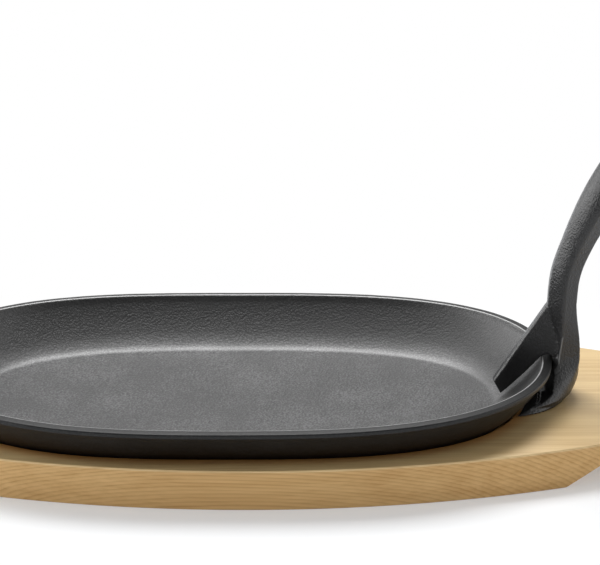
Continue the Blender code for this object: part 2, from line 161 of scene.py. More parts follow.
class HandleSettings(PropertyGroup):
    foot_clearance: length("Foot clearance", "Gap from the wall to the foot", 0.0020)
    scoop_clearance: length("Scoop clearance", "Gap from the rim's edge to the leg", 0.0024)
    arch_headroom: length("Arch headroom", "Gap over the rim", 0.0015)
    arch_clearance: length("Arch clearance", "Gap from the rim's edge to the arch", 0.0009)
    arch_inner_gap: length("Arch inner gap", "Gap from the lip to the blade", 0.0006)
    arch_shoulder: length("Arch shoulder", "Height of the arch's outer round", 0.0070)
    arch_crown: length("Arch crown", "From the rim inwards to the arch's top", 0.0011)
    blade_thickness: length("Blade thickness", "Thickness of the blade", 0.0052)
    blade_round: length("Blade edge round", "Radius of the blade's edges", 0.0008)
    blade_bow: length("Blade bow", "How far its low edge bows to the wall", 0.0005)
    blade_spread: share("Blade spread start", "Where it starts to thicken", 0.20)
    tip_reach: length("Tip reach", "From the rim inwards to the blade's tip", 0.0211)
    tip_lift: length("Tip lift", "From the floor up to the blade's tip", 0.0044)
    tip_length: length("Tip length", "Length of the blade's blunt tip", 0.0069)
    tip_angle: angle("Tip angle", "Slope of the blunt tip", 118.0)
    heel_height: length("Heel height", "Where the blade meets the neck", 0.0412)
    leg_thickness: length("Leg thickness", "Thickness of the leg", 0.0095)
    leg_front: length("Leg front", "From the ridge to the front at the arch", 0.0030)
    ridge_lean: length("Ridge lean", "How far the ridge leans forward", 0.0012)
    foot_half_width: length("Foot half width", "Half the width of the foot", 0.0302)
    foot_reach: length("Foot reach", "From the rim inwards to the foot's tips", 0.0250)
    foot_hollow: length("Foot hollow", "How far its front curves in", 0.0080)
    foot_round: length("Foot round", "How far the back draws in at the foot", 0.0050)
    foot_round_height: length("Foot round height", "Height of that rounding", 0.0120)
    pad_height: length("Pad height", "Height of the pad under the foot", 0.0016)
    pad_step: length("Pad step", "How far the pad draws in", 0.0009)
    flare_height: length("Flare height", "Where the leg is as narrow as the neck", 0.0210)
    bevel_start: length("Bevel start", "Where the back's bevels begin", 0.0090)
    hollow_depth: length("Hollow depth", "How far the scoop is hollowed", 0.0028)
    scoop_belly: length("Scoop belly", "How much deeper it is at half height", 0.0012)
    seam_out: length("Seam out", "From the rim's edge out to the mould's seam", 0.0031)
    seam_lean: number("Seam lean", "How much the seam leans outwards", 0.118)
    seam_height: length("Seam height", "How far it runs up from the rim", 0.0110)
    seam_width: length("Seam width", "Half the width of the seam", 0.00045)
    scoop_height: length("Scoop height", "Where the scoop turns upright", 0.0125)
    scoop_fullness: number("Scoop fullness", "Exponent of the scoop's curve", 1.8)
    neck_height: length("Neck height", "Height of the neck above the board", 0.0420)
    neck_setback: length("Neck setback", "How far the neck stands forward", 0.0020)
    neck_half_width: length("Neck half width", "Half the width of the neck", 0.0078)
    neck_front: length("Neck front", "From the ridge to the front", 0.0068)
    neck_back: length("Neck back", "From the ridge to the back", 0.0054)
    neck_round: share("Neck roundness", "How round the neck's front is", 0.75)
    grip_half_width: length("Grip half width", "Half the width of the grip", 0.0105)
    grip_front: length("Grip front", "From the ridge to the front", 0.0090)
    grip_back: length("Grip back", "From the ridge to the back", 0.0060)
    grip_fullness: number("Grip fullness", "Exponent of the grip's front", 2.0)
    swell_start: length("Swell start", "Where the grip begins to widen", 0.018)
    swell_end: length("Swell end", "Where the grip is at its widest", 0.052)
    end_length: length("End length", "Length of the rounded end", 0.013)
    back_flat: share("Back flat", "Share of the width that is flat at the back", 0.56)
    voxel: length("Voxel", "Fineness of the fused casting", 0.0004)
    peen: length("Peen depth", "Depth of the uneven surface", 0.00008)
    peen_size: length("Peen size", "Size of its wider dents", 0.0030)
    pebble_size: length("Pebble size", "Size of the pebbles that the sand leaves", 0.0008)
    pebble_relief: length("Pebble relief", "Depth of the pebbles", 0.00026)
    iron: colour("Iron", "Colour of the seasoned iron", (0.007, 0.007, 0.0075))
    # Painted highlight: a pale line for the light along the leg's ridge
    seam_highlight: colour("Seam highlight", "Colour of the mould's seam", (0.160, 0.160, 0.161))
    # Painted shade: near black for the shade on the scoop's face under the rim
    scoop_shade: colour("Scoop shade", "Colour of what the heat leaves in the scoop", (0.002, 0.002, 0.002))


class StageSettings(PropertyGroup):
    floor_size: length("Floor size", "Side of the floor", 12.0)
    floor_colour: colour("Floor", "Colour of the floor", (0.93, 0.945, 0.965))
    key_power: number("Key light", "Power of the soft light overhead, in watts", 17.5)
    key_length: length("Key length", "Length of the soft light", 1.0)
    key_width: length("Key width", "Width of the soft light", 0.6)
    key_left: length("Key set left", "How far to the left of the object it hangs", 0.12)
    key_back: length("Key set back", "How far behind the object it hangs", 0.58)
    key_height: length("Key height", "How high above the table it hangs", 1.2)
    front: number("Front", "Radiance of the studio in front and overhead", 0.22)
    back: number("Back", "How much brighter the low back is", 0.6)
    left: number("Left", "How much brighter the low left is", 3.0)
    right: number("Right", "How much brighter the low right is", 1.3)
    veil: share("Veil", "How much white the camera sees over the floor", 0.3)


# Node trees

class Wire:
    """A number in a node tree: Python arithmetic on it adds Math nodes."""

    def __init__(self, nodes, socket):
        self.nodes = nodes
        self.socket = socket

    def __add__(self, other):
        return self.nodes.maths("ADD", self, other)

    def __sub__(self, other):
        return self.nodes.maths("SUBTRACT", self, other)

    def __rsub__(self, other):
        return self.nodes.maths("SUBTRACT", other, self)

    def __mul__(self, other):
        return self.nodes.maths("MULTIPLY", self, other)

    def __truediv__(self, other):
        return self.nodes.maths("DIVIDE", self, other)

    def __rtruediv__(self, other):
        return self.nodes.maths("DIVIDE", other, self)

    def __pow__(self, other):
        return self.nodes.maths("POWER", self, other)

    __radd__ = __add__
    __rmul__ = __mul__


class Nodes:
    """A node tree of either kind, and the one way in which nodes are added to it."""

    def __init__(self, tree):
        self.tree = tree

    def feed(self, socket, value):
        """Links a socket to a wire or to another socket, or gives it a plain value."""
        source = value.socket if isinstance(value, Wire) else value
        if isinstance(source, bpy.types.NodeSocket):
            self.tree.links.new(source, socket)
        elif socket.type == "RGBA":
            socket.default_value = (*source, 1.0)
        else:
            socket.default_value = source

    def node(self, kind, settings=None, inputs=None):
        node = self.tree.nodes.new(kind)
        for name, value in (settings or {}).items():
            setattr(node, name, value)
        for key, value in (inputs or {}).items():
            self.feed(node.inputs[key], value)
        return node

    def maths(self, operation, *values):
        node = self.node("ShaderNodeMath", {"operation": operation}, dict(enumerate(values)))
        return Wire(self, node.outputs[0])

    def vector(self, operation, *values):
        settings = {"operation": operation}
        return self.node("ShaderNodeVectorMath", settings, dict(enumerate(values))).outputs[0]

    def joined(self, x, y, z):
        return self.node("ShaderNodeCombineXYZ", None, {"X": x, "Y": y, "Z": z}).outputs[0]

    def parts(self, vector):
        split = self.node("ShaderNodeSeparateXYZ", None, {0: vector})
        return [Wire(self, socket) for socket in split.outputs]

    def blend(self, factor, first, second):
        """A colour between two colours."""
        inputs = {0: factor, 6: first, 7: second}
        return self.node("ShaderNodeMix", {"data_type": "RGBA"}, inputs).outputs[2]

    def tint(self, factor, colour, through):
        """A colour dimmed by another colour."""
        settings = {"data_type": "RGBA", "blend_type": "MULTIPLY"}
        return self.node("ShaderNodeMix", settings, {0: factor, 6: colour, 7: through}).outputs[2]

    def smooth_step(self, value, low, high):
        """0 below low and 1 above high, with a soft passage between them."""
        inputs = {"Value": value, "From Min": low, "From Max": high}
        node = self.node("ShaderNodeMapRange", {"interpolation_type": "SMOOTHSTEP"}, inputs)
        return Wire(self, node.outputs[0])

    def cloud(self, vector, size, detail=2.0, roughness=0.5):
        """Soft noise from 0 to 1, whose patches are about one size across."""
        inputs = {"Vector": vector, "Scale": 1 / size, "Detail": detail, "Roughness": roughness}
        return Wire(self, self.node("ShaderNodeTexNoise", None, inputs).outputs[0])

    def cells(self, vector, size):
        """Rounded cells: 0 in the middle of each and rising to its border."""
        settings = {"feature": "SMOOTH_F1"}
        inputs = {"Vector": vector, "Scale": 1 / size, "Smoothness": 0.6}
        return Wire(self, self.node("ShaderNodeTexVoronoi", settings, inputs).outputs[0])


class Finish(Nodes):
    """A material with one Principled BSDF."""

    def __init__(self, name):
        self.material = bpy.data.materials.new(name)
        self.material.use_nodes = True
        super().__init__(self.material.node_tree)
        self.shader = self.tree.nodes["Principled BSDF"]
        self.place = self.node("ShaderNodeTexCoord").outputs["Object"]

    def stretched(self, scale, turn=(0.0, 0.0, 0.0), shift=(0.0, 0.0, 0.0)):
        inputs = {"Vector": self.place, "Location": shift, "Rotation": turn, "Scale": scale}
        return self.node("ShaderNodeMapping", None, inputs).outputs[0]

    def set(self, **values):
        """Sets the shader's sockets, whose names are given with underscores."""
        for name, value in values.items():
            self.feed(self.shader.inputs[name.replace("_", " ")], value)

    def relief(self, height, depth):
        """Gives the surface a height from 0 to 1 that stands for a real depth."""
        inputs = {"Height": height, "Distance": depth, "Strength": 1.0}
        return self.node("ShaderNodeBump", None, inputs).outputs[0]


# Finishes

PATCH_SIZE = 0.022
DEEPEST_RELIEF = 0.0010


def sand_cast(iron, pebble_size):
    """The height that the mould's sand leaves on iron, from rounded pebbles, grains and
    pits, and its grains alone."""
    warped = iron.cloud(iron.place, pebble_size * 4, 1.0)
    pushed = iron.vector("MULTIPLY_ADD", iron.joined(warped, warped, warped),
                         (pebble_size * 1.2,) * 3, iron.place)
    pebbles = 1 - iron.cells(pushed, pebble_size)
    grains = iron.cloud(iron.place, pebble_size * 0.5, 2.0, 0.6)
    pits = iron.smooth_step(iron.cloud(iron.place, pebble_size * 2.2, 1.0), 0.30, 0.40)
    return pebbles * 0.55 + grains * 0.30 + pits * 0.15, grains


def platter_iron(name, platter):
    """Oiled and nearly smooth outside, matt and pebbled inside, with a painted highlight in
    between along the rim's inner edge; the lip and the floor are painted lighter for the light
    that falls on them.
    """
    iron = Finish(name)
    ways = iron.node("ShaderNodeAttribute", {"attribute_name": "inside"}).outputs["Fac"]
    on_lip = iron.smooth_step(Wire(iron, ways), 0.0, 0.25)
    inside = iron.smooth_step(Wire(iron, ways), 0.25, 1.0)
    # This band peaks halfway across the rim's inner edge, where the highlight is painted
    highlighted = inside * (1 - inside) * 4
    above = iron.parts(iron.place)[2] - floor_height(platter)
    wall = iron.smooth_step(above, 0.0004, 0.0070)
    sloping = iron.smooth_step(above, 0.0001, 0.0007)
    height = sand_cast(iron, platter.pebble_size)[0]
    patches = iron.cloud(iron.place, PATCH_SIZE, 3.0, 0.6)
    # Painted light: light grey on the floor for its sheen, passing up the wall into the wall's
    # dark iron
    floor_light_to_wall = iron.blend(wall, platter.floor_painted_light, platter.wall_iron)
    # The lip is painted lighter than the rest of the outside, for the light on it
    outer = iron.blend(on_lip, platter.iron, platter.lip_painted_light)
    tone_with_painted_light = iron.blend(inside, outer, floor_light_to_wall)
    dusk = iron.smooth_step(height * 0.7 + patches * 0.3, 0.72, 0.50)
    grained = iron.tint(dusk, tone_with_painted_light, (0.46, 0.46, 0.46))
    depth = inside * (wall * platter.wall_relief + platter.floor_relief) + 0.00006
    # The painted highlight along the rim's inner edge, uneven in patches
    rim_highlight = highlighted * (patches * 0.5 + 0.7)
    iron.set(Base_Color=iron.blend(rim_highlight, grained, platter.painted_highlight),
             Roughness=patches * 0.10 + inside * 0.06 + 0.36,
             Metallic=0.0,
             IOR=1.38,
             Coat_Weight=inside * sloping,
             Coat_Roughness=0.42,
             Coat_IOR=1.58,
             Normal=iron.relief(height * depth / DEEPEST_RELIEF, DEEPEST_RELIEF))
    return iron.material


def handle_iron(name, handle, platter):
    """Pebbled, oiled cast iron with the mould's raised parting line on its sides, painted pale as
    a highlight, and painted shade on its scoop.
    """
    iron = Finish(name)
    height, grains = sand_cast(iron, handle.pebble_size)
    patches = iron.cloud(iron.place, PATCH_SIZE, 3.0, 0.6)
    x, y, z = iron.parts(iron.place)
    out = iron.maths("ABSOLUTE", y)
    across = (out / HALF_WIDTH) ** platter.side_fullness
    rim_x = (1 - across) ** (1 / platter.end_fullness) * HALF_LENGTH
    past_rim = x - PLATTER_MIDDLE - rim_x
    # Painted shade lies on the scoop's face, which looks towards the platter
    normal = iron.node("ShaderNodeTexCoord").outputs["Normal"]
    facing = iron.smooth_step(iron.parts(normal)[0], -0.10, -0.40)
    outside = iron.maths("MAXIMUM", iron.smooth_step(past_rim, -0.0035, -0.0015),
                         iron.smooth_step(out, 0.004, 0.006))
    above = z - PLATTER_HIGH.z
    scoop_shade = (facing * outside * iron.smooth_step(past_rim, 0.0072, 0.0062)
            * iron.smooth_step(above, 0.0012, -0.0005))
    # The parting line climbs both sides of the leg, a little outside the rim, raised and painted
    # pale as a highlight along the ridge
    off_seam = iron.maths("ABSOLUTE", past_rim - handle.seam_out - above * handle.seam_lean)
    seam_and_highlight = (iron.smooth_step(off_seam, handle.seam_width, handle.seam_width * 0.3)
            * iron.smooth_step(above, -0.0020, 0.0) * iron.smooth_step(out, 0.005, 0.006)
            * iron.smooth_step(above, handle.seam_height, handle.seam_height - 0.002))
    dark = iron.blend(scoop_shade, handle.iron, handle.scoop_shade)
    iron.set(Base_Color=iron.blend(seam_and_highlight, dark, handle.seam_highlight),
             Roughness=iron.maths("MAXIMUM", patches * 0.10 + grains * 0.06 + 0.22, scoop_shade),
             Metallic=0.0,
             IOR=1.6,
             Normal=iron.relief(height + seam_and_highlight, handle.pebble_relief))
    return iron.material


def maple(name, board, platter):
    """Flat-sawn maple: the year rings are tubes round a heart that lies outside the plank."""
    wood = Finish(name)
    # The year rings, dark at their late wood
    drift = wood.cloud(wood.stretched((0.22, 1.0, 1.0)), 0.055, 2.0)
    turned = wood.stretched((1.0, 1.0, 1.0), (0.0, math.radians(0.8), math.radians(1.0)),
                            (0.0, 0.130, 0.030))
    x, y, z = wood.parts(turned)
    across = y + (drift - 0.5) * 0.012
    radius = (across * across + z * z) ** 0.5
    fibre = wood.cloud(wood.stretched((0.05, 1.0, 1.0)), 0.0016, 3.0, 0.6)
    rings = (radius + (fibre - 0.5) * 0.0005) / board.ring_spacing
    phase = wood.maths("FRACT", rings)
    late = wood.smooth_step(phase, 0.35, 0.90) * wood.smooth_step(phase, 1.0, 0.93)
    uneven = wood.cloud(wood.joined(rings * 0.37, 0.0, 0.0), 1.0, 1.0)
    # What runs along the plank: fibres, wider figure and broad bands
    streaks = wood.cloud(wood.stretched((0.03, 1.0, 1.0)), 0.0007, 2.0, 0.6)
    figure = wood.cloud(wood.stretched((0.04, 1.0, 1.0), (0.0, 0.0, math.radians(1.5))),
                        0.0026, 2.0, 0.6)
    bands = wood.cloud(wood.stretched((0.10, 1.0, 1.0)), 0.030, 2.0)
    darkness = (late * (uneven * 0.55 + 0.10) + (streaks - 0.5) * 0.60
                + (figure - 0.5) * 1.20 + (bands - 0.5) * 0.60)
    lines = wood.smooth_step(darkness, -0.40, 0.90)
    x, y, z = wood.parts(wood.place)
    face = wood.smooth_step(z, BOARD_TOP - 0.0012, BOARD_TOP - 0.0005)
    # The top is painted as lit wood and the sides as shaded wood
    plain = wood.blend(face, board.shaded_edge_wood, board.lit_face_wood)
    grained = wood.tint(lines, plain, board.grain)
    # Painted shadow of the platter on the board, strongest where its wall meets the board
    mouth = wall_inset_at(platter, BOARD_TOP)
    out_x = wood.maths("ABSOLUTE", (x - PLATTER_MIDDLE) / (HALF_LENGTH - mouth))
    out_y = wood.maths("ABSOLUTE", y / (HALF_WIDTH - mouth))
    out = out_x ** platter.end_fullness + out_y ** platter.side_fullness
    painted_shade = wood.smooth_step(out + (bands - 0.5) * 0.15, 1.30, 1.02) * face
    wood.set(Base_Color=wood.tint(painted_shade, grained, board.shadow_tint),
             Roughness=streaks * 0.12 + 0.50,
             Metallic=0.0,
             IOR=1.25,
             Coat_Weight=face * 0.9,
             Coat_Roughness=0.45,
             Coat_IOR=1.7,
             Normal=wood.relief(streaks * 0.7 + (1 - late) * 0.3, 0.00005))
    return wood.material


# Shapes

OVERSHOOT = 0.002          # how far a cutter reaches past what it cuts


def mix(a, b, t):
    return a + (b - a) * t


def clamp(t):
    return min(max(t, 0.0), 1.0)


def smoothstep(t):
    t = clamp(t)
    return t * t * (3 - 2 * t)


def shares(steps):
    """Even shares of the way from 0 to 1."""
    return [i / steps for i in range(steps + 1)]


def link_mesh(name, mesh):
    item = bpy.data.objects.new(name, mesh)
    bpy.context.scene.collection.objects.link(item)
    return item


def loft(name, rings):
    """A closed solid through rings of equal point counts, capped at both ends."""
    bm = bmesh.new()
    loops = [[bm.verts.new(point) for point in ring] for ring in rings]
    for lower, upper in zip(loops, loops[1:]):
        for i in range(len(lower)):
            j = (i + 1) % len(lower)
            bm.faces.new((lower[i], lower[j], upper[j], upper[i]))
    bm.faces.new(list(reversed(loops[0])))
    bm.faces.new(loops[-1])
    bmesh.ops.recalc_face_normals(bm, faces=bm.faces)
    mesh = bpy.data.meshes.new(name)
    bm.to_mesh(mesh)
    bm.free()
    return link_mesh(name, mesh)


def combine(item, other, operation):
    """Adds a boolean with another solid, which settle carries out."""
    modifier = item.modifiers.new(other.name, "BOOLEAN")
    modifier.operation = operation
    modifier.solver = "EXACT"
    modifier.object = other


def settle(item, *helpers):
    """Turns an object's modifiers into its plain mesh and removes its helper solids."""
    graph = bpy.context.evaluated_depsgraph_get()
    mesh = bpy.data.meshes.new_from_object(item.evaluated_get(graph))
    mesh.name = item.name
    item.modifiers.clear()
    item.data = mesh
    for helper in helpers:
        bpy.data.objects.remove(helper, do_unlink=True)
    return item


def hand_over(item, node, material):
    """Gives a finished piece its material, and lets it stand for its CAD node."""
    item.data.materials.clear()
    item.data.materials.append(material)
    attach(item, node)
    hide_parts(node)


def quarter_round(steps):
    """Pairs that go round a quarter of a unit circle, from (1, 0) to (0, 1)."""
    angles = [math.pi / 2 * t for t in shares(steps)]
    return [(math.cos(turn), math.sin(turn)) for turn in angles]


def soften(points, radii, steps):
    """An open line of flat points whose corners are rounded to their radii."""
    line = [points[0]]
    for i in range(1, len(points) - 1):
        corner, radius = points[i], radii[i]
        if not radius:
            line.append(corner)
            continue
        back = (points[i - 1] - corner).normalized()
        ahead = (points[i + 1] - corner).normalized()
        half_angle = back.angle(ahead) / 2
        centre = corner + (back + ahead).normalized() * (radius / math.sin(half_angle))
        start = corner + back * (radius / math.tan(half_angle)) - centre
        stop = corner + ahead * (radius / math.tan(half_angle)) - centre
        sweep = start.angle_signed(stop)
        for t in shares(steps):
            c, s = math.cos(-sweep * t), math.sin(-sweep * t)
            line.append(centre + Vector((start.x * c - start.y * s, start.x * s + start.y * c)))
    return line + [points[-1]]


def inset(points, distance):
    """An anticlockwise outline drawn in by a distance."""
    moved = []
    for i, point in enumerate(points):
        along = (points[(i + 1) % len(points)] - points[i - 1]).normalized()
        moved.append(point + Vector((-along.y, along.x)) * distance)
    return moved


# The oval, swept by Geometry Nodes

OVAL_INPUTS = (
    ("Length", "NodeSocketFloat", 0.27),
    ("Width", "NodeSocketFloat", 0.168),
    ("Middle", "NodeSocketFloat", 0.0),
    ("End Fullness", "NodeSocketFloat", 2.9),
    ("Side Fullness", "NodeSocketFloat", 2.155),
    ("End Rise", "NodeSocketFloat", 0.0028),
    ("Floor Height", "NodeSocketFloat", 0.0),
    ("Rim Height", "NodeSocketFloat", 0.02),
    ("Facets", "NodeSocketInt", 360),
    ("Waviness", "NodeSocketFloat", 0.0),
    ("Wave Size", "NodeSocketFloat", 0.01),
    ("Material", "NodeSocketMaterial", None),
)
OVAL_FACETS = 1440
MERGE_DISTANCE = 0.00001


def oval_tree():
    """Sweeps a section round an oval whose ends curve up.

    The section is a line of points that hold the inset from the oval's edge, the share of
    the way out from the middle, and the height.
    """
    tree = bpy.data.node_groups.new("oval_casting", "GeometryNodeTree")
    tree.interface.new_socket("Geometry", in_out="INPUT", socket_type="NodeSocketGeometry")
    tree.interface.new_socket("Geometry", in_out="OUTPUT", socket_type="NodeSocketGeometry")
    for name, kind, default in OVAL_INPUTS:
        socket = tree.interface.new_socket(name, in_out="INPUT", socket_type=kind)
        if default is not None:
            socket.default_value = default
    nodes = Nodes(tree)
    given = nodes.node("NodeGroupInput").outputs
    ask = {name: Wire(nodes, given[name]) for name, kind, default in OVAL_INPUTS}
    here = nodes.node("GeometryNodeInputPosition").outputs[0]

    circle = nodes.node("GeometryNodeCurvePrimitiveCircle", {"mode": "RADIUS"},
                        {"Resolution": OVAL_FACETS, "Radius": 1.0}).outputs["Curve"]
    c, s, flat = nodes.parts(here)
    x = nodes.maths("SIGN", c) * nodes.maths("ABSOLUTE", c) ** (2 / ask["End Fullness"])
    y = nodes.maths("SIGN", s) * nodes.maths("ABSOLUTE", s) ** (2 / ask["Side Fullness"])
    edge = nodes.joined(x * ask["Length"] * 0.5, y * ask["Width"] * 0.5, 0.0)
    oval = nodes.node("GeometryNodeSetPosition", None,
                      {"Geometry": circle, "Position": edge}).outputs[0]

    counts = nodes.node("GeometryNodeAttributeDomainSize", None,
                        {"Geometry": given["Geometry"]}).outputs["Point Count"]
    count = Wire(nodes, counts)
    grid = nodes.node("GeometryNodeMeshGrid", None,
                      {"Size X": 1.0, "Size Y": 1.0, "Vertices X": ask["Facets"] + 1,
                       "Vertices Y": count}).outputs["Mesh"]
    u, v, flat = nodes.parts(here)
    row = nodes.maths("ROUND", (v + 0.5) * (count - 1))
    section = nodes.node("GeometryNodeSampleIndex", {"data_type": "FLOAT_VECTOR"},
                         {"Geometry": given["Geometry"], "Value": here, "Index": row}).outputs[0]
    inset_by, out_share, height = nodes.parts(section)
    kept = nodes.node("GeometryNodeInputNamedAttribute", {"data_type": "FLOAT"},
                      {"Name": "inside"}).outputs["Attribute"]
    inside = nodes.node("GeometryNodeSampleIndex", {"data_type": "FLOAT"},
                        {"Geometry": given["Geometry"], "Value": kept, "Index": row}).outputs[0]
    around = nodes.node("GeometryNodeSampleCurve", {"mode": "FACTOR", "use_all_curves": True},
                        {"Curves": oval, "Factor": u + 0.5}).outputs
    edge_x, edge_y, flat = nodes.parts(around["Position"])
    along_x, along_y, flat = nodes.parts(around["Tangent"])
    out_x = (edge_x - along_y * inset_by) * out_share
    out_y = (edge_y + along_x * inset_by) * out_share
    climb = (height - ask["Floor Height"]) / (ask["Rim Height"] - ask["Floor Height"])
    climb = nodes.maths("MINIMUM", nodes.maths("MAXIMUM", climb, 0.0), 1.0)
    reach = out_x / (ask["Length"] * 0.5)
    lift = ask["End Rise"] * climb * reach * reach
    marked = nodes.node("GeometryNodeStoreNamedAttribute",
                        {"data_type": "FLOAT", "domain": "POINT"},
                        {"Geometry": grid, "Name": "inside", "Value": inside})
    swept = nodes.node("GeometryNodeSetPosition", None,
                       {"Geometry": marked.outputs[0],
                        "Position": nodes.joined(out_x + ask["Middle"], out_y, height + lift)})
    closed = nodes.node("GeometryNodeMergeByDistance", None,
                        {"Geometry": swept.outputs[0], "Distance": MERGE_DISTANCE})
    waves = nodes.node("ShaderNodeTexNoise", None,
                       {"Vector": here, "Scale": 1 / ask["Wave Size"], "Detail": 2.0})
    depth = (Wire(nodes, waves.outputs[0]) - 0.5) * ask["Waviness"] * 2
    normal = nodes.node("GeometryNodeInputNormal").outputs[0]
    push = nodes.node("ShaderNodeVectorMath", {"operation": "SCALE"},
                      {0: normal, "Scale": depth}).outputs[0]
    uneven = nodes.node("GeometryNodeSetPosition", None,
                        {"Geometry": closed.outputs[0], "Offset": push})
    real = nodes.node("GeometryNodeRealizeInstances", None, {"Geometry": uneven.outputs[0]})
    coated = nodes.node("GeometryNodeSetMaterial", None,
                        {"Geometry": real.outputs[0], "Material": ask["Material"]})
    nodes.node("NodeGroupOutput", None, {"Geometry": coated.outputs[0]})
    return tree


def sweep_oval(name, section, platter, inside=None, material=None):
    """A closed solid with a section of (inset, share, height) swept round the oval. Where
    the section says how far each point is inside the rim, the casting is also uneven."""
    mesh = bpy.data.meshes.new(name)
    mesh.from_pydata(section, [(i, i + 1) for i in range(len(section) - 1)], [])
    if inside:
        mesh.attributes.new("inside", "FLOAT", "POINT").data.foreach_set("value", inside)
    item = link_mesh(name, mesh)
    tree = bpy.data.node_groups.get("oval_casting") or oval_tree()
    modifier = item.modifiers.new("sweep", "NODES")
    modifier.node_group = tree
    values = {
        "Length": HALF_LENGTH * 2,
        "Width": HALF_WIDTH * 2,
        "Middle": PLATTER_MIDDLE,
        "End Fullness": platter.end_fullness,
        "Side Fullness": platter.side_fullness,
        "End Rise": platter.end_rise,
        "Floor Height": floor_height(platter),
        "Rim Height": rim_height(platter),
        "Facets": platter.around,
        "Waviness": platter.waviness if inside else 0.0,
        "Wave Size": platter.wave_size,
        "Material": material,
    }
    for socket in tree.interface.items_tree:
        if socket.in_out == "INPUT" and values.get(socket.name) is not None:
            modifier[socket.identifier] = values[socket.name]
    settle(item)
    bm = bmesh.new()
    bm.from_mesh(item.data)
    bmesh.ops.remove_doubles(bm, verts=bm.verts, dist=MERGE_DISTANCE)
    bmesh.ops.dissolve_degenerate(bm, edges=bm.edges, dist=MERGE_DISTANCE)
    bmesh.ops.recalc_face_normals(bm, faces=bm.faces)
    bm.to_mesh(item.data)
    bm.free()
    return item


# Platter

OUTSIDE_STEPS = 22
INSIDE_STEPS = 26
FINE_STEPS = 48
BASE_RINGS = 8
FLOOR_RINGS = 24
BASE_START = 0.004         # from the base's outer corner in to its last ring


def floor_height(platter):
    return PLATTER_LOW.z + platter.floor_thickness


def rim_height(platter):
    return PLATTER_HIGH.z - platter.end_rise


def wall_cove(platter, steps):
    """The inside of the wall from the lip down to the floor, as (inset, height, slope)."""
    run = platter.wall_run - platter.lip_width
    top = rim_height(platter) - platter.lip_depth
    drop = top - floor_height(platter)
    radius = math.hypot(run, drop) / (2 * math.sin(platter.wall_turn / 2))
    steep = math.atan2(drop, run) + platter.wall_turn / 2
    cove = []
    for t in shares(steps):
        slope = steep - platter.wall_turn * t
        across = radius * (math.sin(steep) - math.sin(slope))
        down = radius * (math.cos(slope) - math.cos(steep))
        cove.append((platter.lip_width + across, top - down, slope))
    return cove


def wall_outside(platter, steps):
    """The outside of the wall from the base up to below the lip, as (inset, height)."""
    outside = []
    for distance, z, slope in reversed(wall_cove(platter, steps)):
        out = distance - platter.wall_thickness * math.sin(slope)
        low = z - platter.wall_thickness * math.cos(slope)
        if low > PLATTER_LOW.z + platter.base_round:
            outside.append(Vector((max(out, 0.0), low)))
    return outside


def wall_inset_at(platter, height):
    """How far the outside of the wall stands inside the rim's edge at a height."""
    outside = wall_outside(platter, FINE_STEPS)
    for low, high in zip(outside, outside[1:]):
        if low.y <= height <= high.y:
            return mix(low.x, high.x, (height - low.y) / (high.y - low.y))
    return outside[0].x if height < outside[0].y else 0.0


def platter_section(platter):
    """From the middle of the base, out round the rim, and in to the middle of the floor.
    The second list is 0 outside, a quarter on the lip and 1 inside."""
    rim = rim_height(platter)
    outside = wall_outside(platter, OUTSIDE_STEPS)
    cove = wall_cove(platter, INSIDE_STEPS)
    base_inset = outside[0].x + platter.base_round * 0.6
    edge = platter.lip_width - platter.lip_inner_round
    points = [Vector((base_inset + BASE_START, PLATTER_LOW.z)),
              Vector((base_inset, PLATTER_LOW.z))] + outside[:-1]
    radii = [0.0, platter.base_round] + [0.0] * (len(outside) - 1)
    points += [Vector((0.0, rim - platter.lip_height)),
               Vector((0.0, rim - platter.lip_fall)),
               Vector((edge, rim - platter.lip_fall * (1 - edge / platter.lip_width))),
               Vector((platter.lip_width, rim))]
    radii += [platter.lip_under_round, platter.lip_outer_round, 0.0, platter.lip_inner_round]
    foot_inset, foot, foot_slope = cove[-1]
    fillet = platter.floor_fillet * math.tan(foot_slope / 2)
    for distance, z, slope in cove[1:-1]:
        if distance < foot_inset - fillet:
            points.append(Vector((distance, z)))
            radii.append(0.0)
    points += [Vector((foot_inset, foot)), Vector((foot_inset + platter.floor_fillet, foot))]
    radii += [platter.floor_fillet, 0.0]
    line = soften(points, radii, 8)
    section = [(line[0].x, t, line[0].y) for t in shares(BASE_RINGS)[:-1]]
    section += [(point.x, 1.0, point.y) for point in line]
    section += [(line[-1].x, 1 - t, line[-1].y) for t in shares(FLOOR_RINGS)[1:]]
    inside = []
    on_lip = past_rim = False
    for distance, share_out, z in section:
        on_lip = on_lip or z > rim - platter.lip_height
        past_rim = past_rim or on_lip and distance > edge + MERGE_DISTANCE
        ways = clamp((distance - edge) / platter.highlight_width) if past_rim else 0.0
        inside.append(mix(0.25, 1.0, ways) if on_lip else 0.0)
    return section, inside


# Board

def board_outline(board):
    """Two long side arcs that run into the smaller arcs of the ends."""
    half = (BOARD_HIGH.y - BOARD_LOW.y) / 2
    end_x = (BOARD_HIGH.x - BOARD_LOW.x) / 2 - board.end_radius
    side_radius = (end_x ** 2 + half ** 2 - board.end_radius ** 2) / (half - board.end_radius) / 2
    side_y = half - side_radius
    join = math.atan2(-side_y, end_x)
    arcs = ((end_x, 0.0, board.end_radius, -join, join),
            (0.0, side_y, side_radius, join, math.pi - join))
    points = []
    for centre_x, centre_y, radius, start, stop in arcs:
        steps = math.ceil(radius * (stop - start) / board.spacing)
        for i in range(steps):
            turn = mix(start, stop, i / steps)
            points.append(Vector((centre_x + radius * math.cos(turn),
                                  centre_y + radius * math.sin(turn))))
    return points + [-point for point in points]


